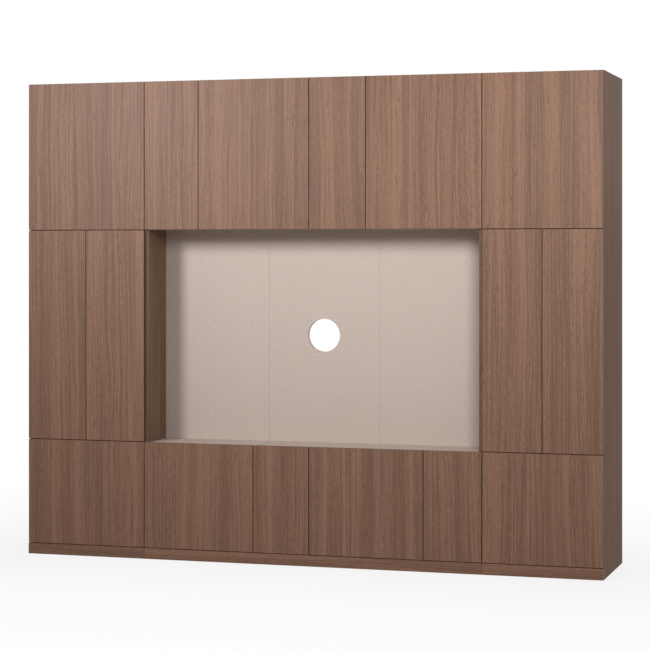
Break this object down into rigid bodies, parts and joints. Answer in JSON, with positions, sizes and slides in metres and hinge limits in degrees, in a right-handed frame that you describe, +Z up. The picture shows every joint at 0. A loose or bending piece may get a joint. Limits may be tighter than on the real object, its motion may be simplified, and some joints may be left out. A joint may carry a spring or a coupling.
{
  "type": "entertainment center",
  "caption": "Wall-high media cabinet: door-fronted towers and cupboards frame an open screen niche with a round cable hole; handleless doors swing on concealed hinges above a plinth.",
  "frame": {"origin": "on the floor, in the middle of the outer width and of the depth from door faces to rear edges", "axes": "+X to the right along the front, +Y from the door faces to the wall, +Z up"},
  "size_m": [3.066, 0.59, 2.49],
  "materials": {
    "walnut_laminate": "satin laminate with straight walnut grain",
    "walnut_side_laminate": "satin laminate with straight, greyer walnut grain",
    "linen_laminate": "matt beige laminate with a fine linen texture"
  },
  "bodies": {
    "cabinet": {"left_tower_outer_side": "walnut_side_laminate", "left_tower_inner_side": "linen_laminate", "left_tower_top": "linen_laminate", "left_tower_upper_fixed_shelf": "linen_laminate", "left_tower_lower_fixed_shelf": "linen_laminate", "left_tower_bottom": "linen_laminate", "left_tower_back": "linen_laminate", "left_tower_shelf_1": "linen_laminate", "left_tower_shelf_2": "linen_laminate", "right_tower_outer_side": "walnut_side_laminate", "right_tower_inner_side": "linen_laminate", "right_tower_top": "linen_laminate", "right_tower_upper_fixed_shelf": "linen_laminate", "right_tower_lower_fixed_shelf": "linen_laminate", "right_tower_bottom": "linen_laminate", "right_tower_back": "linen_laminate", "right_tower_shelf_1": "linen_laminate", "right_tower_shelf_2": "linen_laminate", "bridge_left_end": "linen_laminate", "bridge_right_end": "linen_laminate", "bridge_partition_1": "linen_laminate", "bridge_partition_2": "linen_laminate", "bridge_partition_3": "linen_laminate", "bridge_top": "linen_laminate", "bridge_bottom": "linen_laminate", "bridge_back": "linen_laminate", "base_left_end": "linen_laminate", "base_right_end": "linen_laminate", "base_partition_1": "linen_laminate", "base_partition_2": "linen_laminate", "base_partition_3": "linen_laminate", "base_top": "linen_laminate", "base_bottom": "linen_laminate", "base_back": "linen_laminate", "niche_left_cheek": "walnut_laminate", "niche_right_cheek": "walnut_laminate", "niche_lining_left": "linen_laminate", "niche_lining_middle": "linen_laminate", "niche_lining_right": "linen_laminate", "niche_lower_rail": "linen_laminate", "niche_upper_rail": "linen_laminate", "plinth_left": "walnut_laminate", "plinth_middle": "walnut_laminate", "plinth_right": "walnut_laminate"},
    "top_door_1": {"top_door_1": "walnut_laminate"},
    "top_door_2": {"top_door_2": "walnut_laminate"},
    "top_door_3": {"top_door_3": "walnut_laminate"},
    "top_door_4": {"top_door_4": "walnut_laminate"},
    "top_door_5": {"top_door_5": "walnut_laminate"},
    "top_door_6": {"top_door_6": "walnut_laminate"},
    "base_door_1": {"base_door_1": "walnut_laminate"},
    "base_door_2": {"base_door_2": "walnut_laminate"},
    "base_door_3": {"base_door_3": "walnut_laminate"},
    "base_door_4": {"base_door_4": "walnut_laminate"},
    "base_door_5": {"base_door_5": "walnut_laminate"},
    "base_door_6": {"base_door_6": "walnut_laminate"},
    "left_tower_door_1": {"left_tower_door_1": "walnut_laminate"},
    "left_tower_door_2": {"left_tower_door_2": "walnut_laminate"},
    "right_tower_door_1": {"right_tower_door_1": "walnut_laminate"},
    "right_tower_door_2": {"right_tower_door_2": "walnut_laminate"}
  },
  "joints": [
    {"name": "top_door_1_swing", "type": "hinge", "parent": "cabinet", "child": "top_door_1", "pos_m": [-1.532, -0.295, 2.10275], "axis": [0, 0, -1], "range_deg": [0, 105]},
    {"name": "top_door_2_swing", "type": "hinge", "parent": "cabinet", "child": "top_door_2", "pos_m": [-0.8715, -0.295, 2.10275], "axis": [0, 0, -1], "range_deg": [0, 105]},
    {"name": "top_door_3_swing", "type": "hinge", "parent": "cabinet", "child": "top_door_3", "pos_m": [-0.5715, -0.295, 2.10275], "axis": [0, 0, -1], "range_deg": [0, 105]},
    {"name": "top_door_4_swing", "type": "hinge", "parent": "cabinet", "child": "top_door_4", "pos_m": [0.0285, -0.295, 2.10275], "axis": [0, 0, -1], "range_deg": [0, 105]},
    {"name": "top_door_5_swing", "type": "hinge", "parent": "cabinet", "child": "top_door_5", "pos_m": [0.3285, -0.295, 2.10275], "axis": [0, 0, -1], "range_deg": [0, 105]},
    {"name": "top_door_6_swing", "type": "hinge", "parent": "cabinet", "child": "top_door_6", "pos_m": [1.532, -0.295, 2.10275], "axis": [0, 0, 1], "range_deg": [0, 105]},
    {"name": "base_door_1_swing", "type": "hinge", "parent": "cabinet", "child": "base_door_1", "pos_m": [-1.532, -0.295, 0.334], "axis": [0, 0, -1], "range_deg": [0, 105]},
    {"name": "base_door_2_swing", "type": "hinge", "parent": "cabinet", "child": "base_door_2", "pos_m": [-0.2745, -0.295, 0.334], "axis": [0, 0, 1], "range_deg": [0, 105]},
    {"name": "base_door_3_swing", "type": "hinge", "parent": "cabinet", "child": "base_door_3", "pos_m": [0.0255, -0.295, 0.334], "axis": [0, 0, 1], "range_deg": [0, 105]},
    {"name": "base_door_4_swing", "type": "hinge", "parent": "cabinet", "child": "base_door_4", "pos_m": [0.6255, -0.295, 0.334], "axis": [0, 0, 1], "range_deg": [0, 105]},
    {"name": "base_door_5_swing", "type": "hinge", "parent": "cabinet", "child": "base_door_5", "pos_m": [0.9255, -0.295, 0.334], "axis": [0, 0, 1], "range_deg": [0, 105]},
    {"name": "base_door_6_swing", "type": "hinge", "parent": "cabinet", "child": "base_door_6", "pos_m": [1.532, -0.295, 0.334], "axis": [0, 0, 1], "range_deg": [0, 105]},
    {"name": "left_tower_door_1_swing", "type": "hinge", "parent": "cabinet", "child": "left_tower_door_1", "pos_m": [-1.532, -0.295, 1.1625], "axis": [0, 0, -1], "range_deg": [0, 105]},
    {"name": "left_tower_door_2_swing", "type": "hinge", "parent": "cabinet", "child": "left_tower_door_2", "pos_m": [-0.8745, -0.295, 1.1625], "axis": [0, 0, 1], "range_deg": [0, 105]},
    {"name": "right_tower_door_1_swing", "type": "hinge", "parent": "cabinet", "child": "right_tower_door_1", "pos_m": [0.9285, -0.295, 1.1625], "axis": [0, 0, -1], "range_deg": [0, 105]},
    {"name": "right_tower_door_2_swing", "type": "hinge", "parent": "cabinet", "child": "right_tower_door_2", "pos_m": [1.532, -0.295, 1.1625], "axis": [0, 0, 1], "range_deg": [0, 105]}
  ]
}
